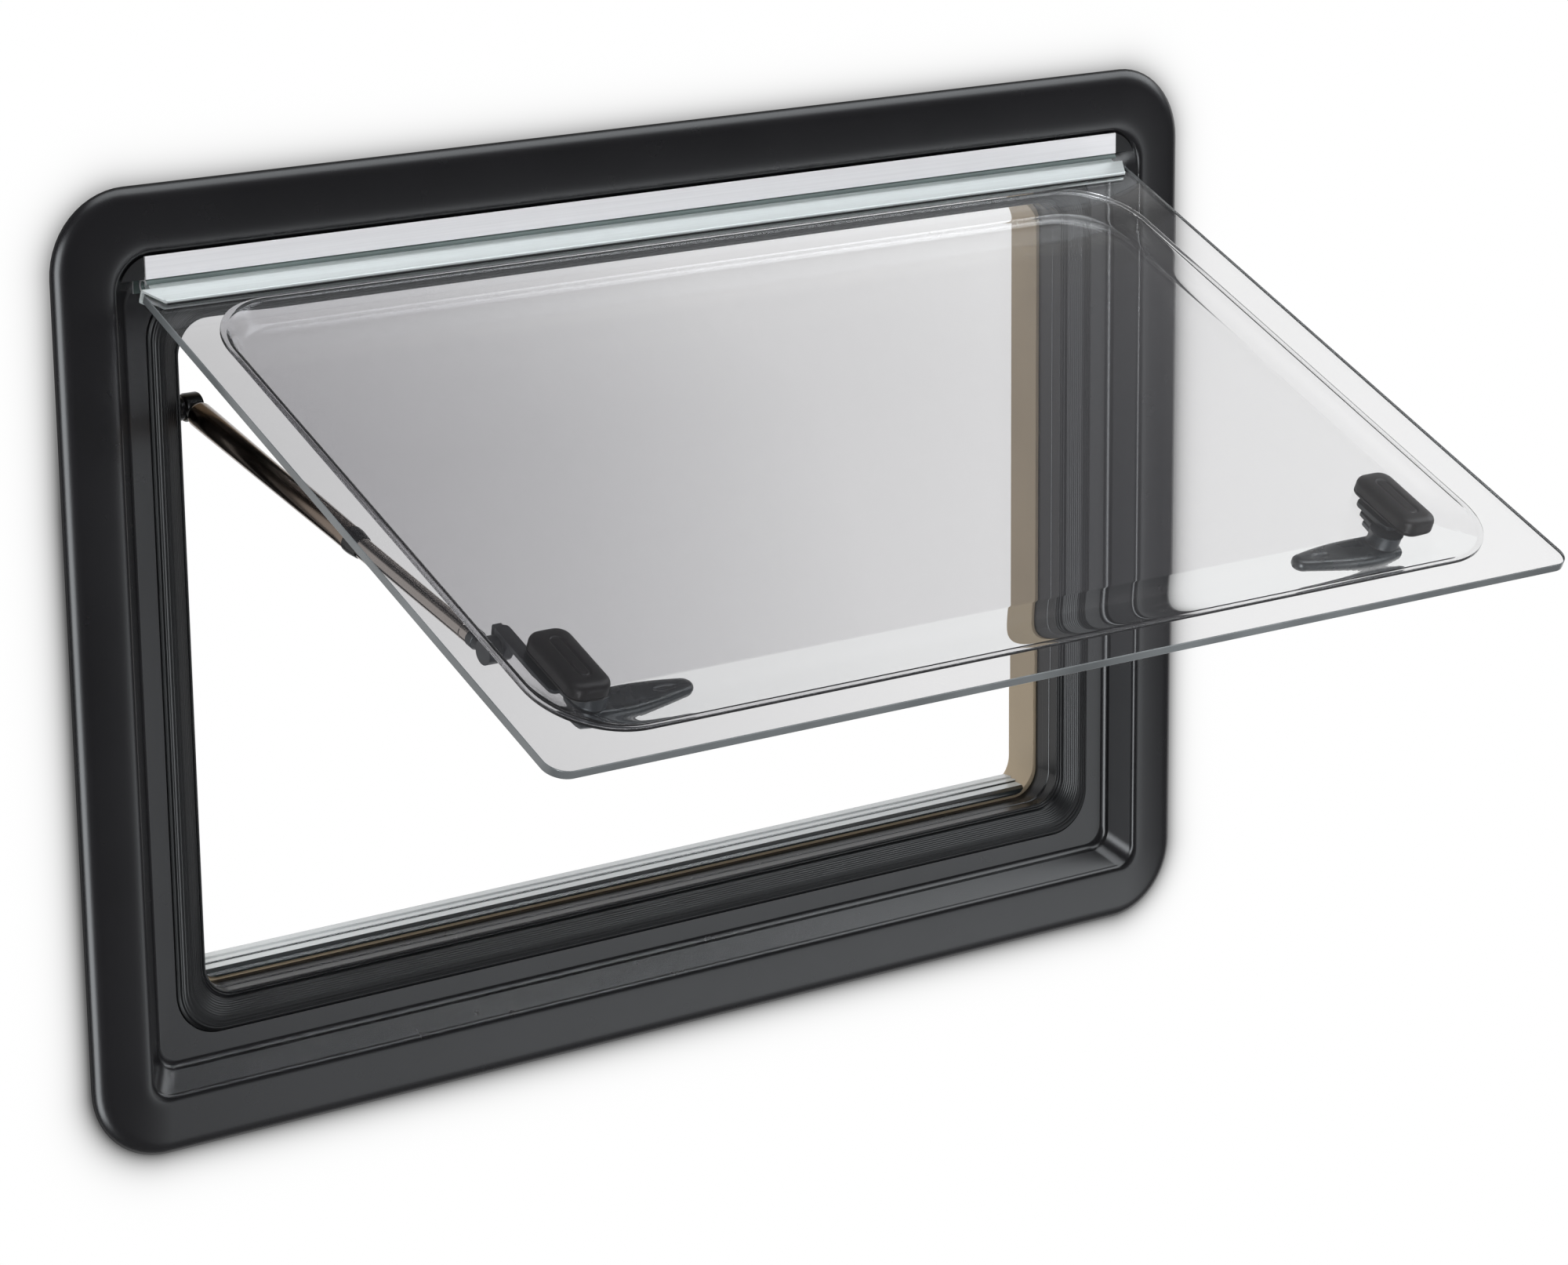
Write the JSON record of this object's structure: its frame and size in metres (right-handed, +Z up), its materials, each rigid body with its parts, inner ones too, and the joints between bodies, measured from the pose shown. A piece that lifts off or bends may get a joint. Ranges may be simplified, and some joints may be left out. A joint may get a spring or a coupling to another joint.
{
  "type": "caravan window",
  "caption": "Top-hung outward-opening caravan window: moulded frame and gasket, double plastic sash on a rail hinge, a sliding stay and two turning latches.",
  "frame": {"origin": "centre of the flange's back face, on the outer skin of the vehicle wall", "axes": "+X right as seen from outside, +Y into the vehicle, +Z up"},
  "size_m": [0.784, 0.4664, 0.55],
  "materials": {
    "frame_plastic": "fine-grained satin black",
    "gasket_rubber": "matt black with a glossy lip",
    "rail_metal": "bright anodised",
    "cap_plastic": "satin black",
    "inner_plastic": "smooth beige",
    "sill_plastic": "glossy grey",
    "bracket_plastic": "satin black",
    "channel_metal": "bright anodised, faintly green",
    "outer_acrylic": "clear grey-tinted acrylic",
    "inner_acrylic": "clear grey-tinted acrylic",
    "latch_cap_plastic": "brown-black satin",
    "latch_plastic": "slate grey satin",
    "tube_metal": "dark bronze, glossy",
    "rod_chrome": "polished",
    "lever_plastic": "slate grey with a soft gloss"
  },
  "bodies": {
    "frame": {"outer_frame": "frame_plastic", "opening_gasket": "gasket_rubber", "hinge_rail": "rail_metal", "hinge_cap_left": "cap_plastic", "hinge_cap_right": "cap_plastic", "inner_frame": "inner_plastic", "sill_strip": "sill_plastic", "stay_bracket": "bracket_plastic"},
    "sash": {"sash_channel": "channel_metal", "outer_pane": "outer_acrylic", "inner_pane": "inner_acrylic", "latch_cap_left": "latch_cap_plastic", "latch_cap_right": "latch_cap_plastic", "latch_base_left": "latch_plastic", "latch_base_right": "latch_plastic"},
    "stay_tube": {"stay_tube": "tube_metal", "stay_tube_cap": "bracket_plastic"},
    "stay_rod": {"stay_rod": "rod_chrome", "stay_rod_eye": "latch_plastic"},
    "latch_left": {"latch_catch_left": "latch_plastic", "latch_lever_left": "lever_plastic"},
    "latch_right": {"latch_catch_right": "latch_plastic", "latch_lever_right": "lever_plastic"}
  },
  "joints": [
    {"name": "sash_hinge", "type": "hinge", "parent": "frame", "child": "sash", "pos_m": [0, -0.0043, 0.2206], "axis": [1, 0, 0], "range_deg": [0, 66]},
    {"name": "stay_swing", "type": "hinge", "parent": "frame", "child": "stay_tube", "pos_m": [-0.297, 0.025, 0.144], "axis": [1, 0, 0], "range_deg": [0, 75.8]},
    {"name": "stay_slide", "type": "slide", "parent": "stay_tube", "child": "stay_rod", "axis": [0, -0.9685, -0.2491], "range_m": [-0.0766, 0]},
    {"name": "latch_turn_left", "type": "hinge", "parent": "sash", "child": "latch_left", "pos_m": [-0.27, -0.32554, 0.04473], "axis": [0, -0.4067, 0.9135], "range_deg": [0, 90]},
    {"name": "latch_turn_right", "type": "hinge", "parent": "sash", "child": "latch_right", "pos_m": [0.27, -0.32554, 0.04473], "axis": [0, 0.4067, -0.9135], "range_deg": [0, 90]}
  ],
  "couplings": [
    {"joint": "stay_swing", "follows": "sash_hinge", "ratio": 1.1477},
    {"joint": "stay_slide", "follows": "sash_hinge", "m_per_rad": -0.066458}
  ]
}
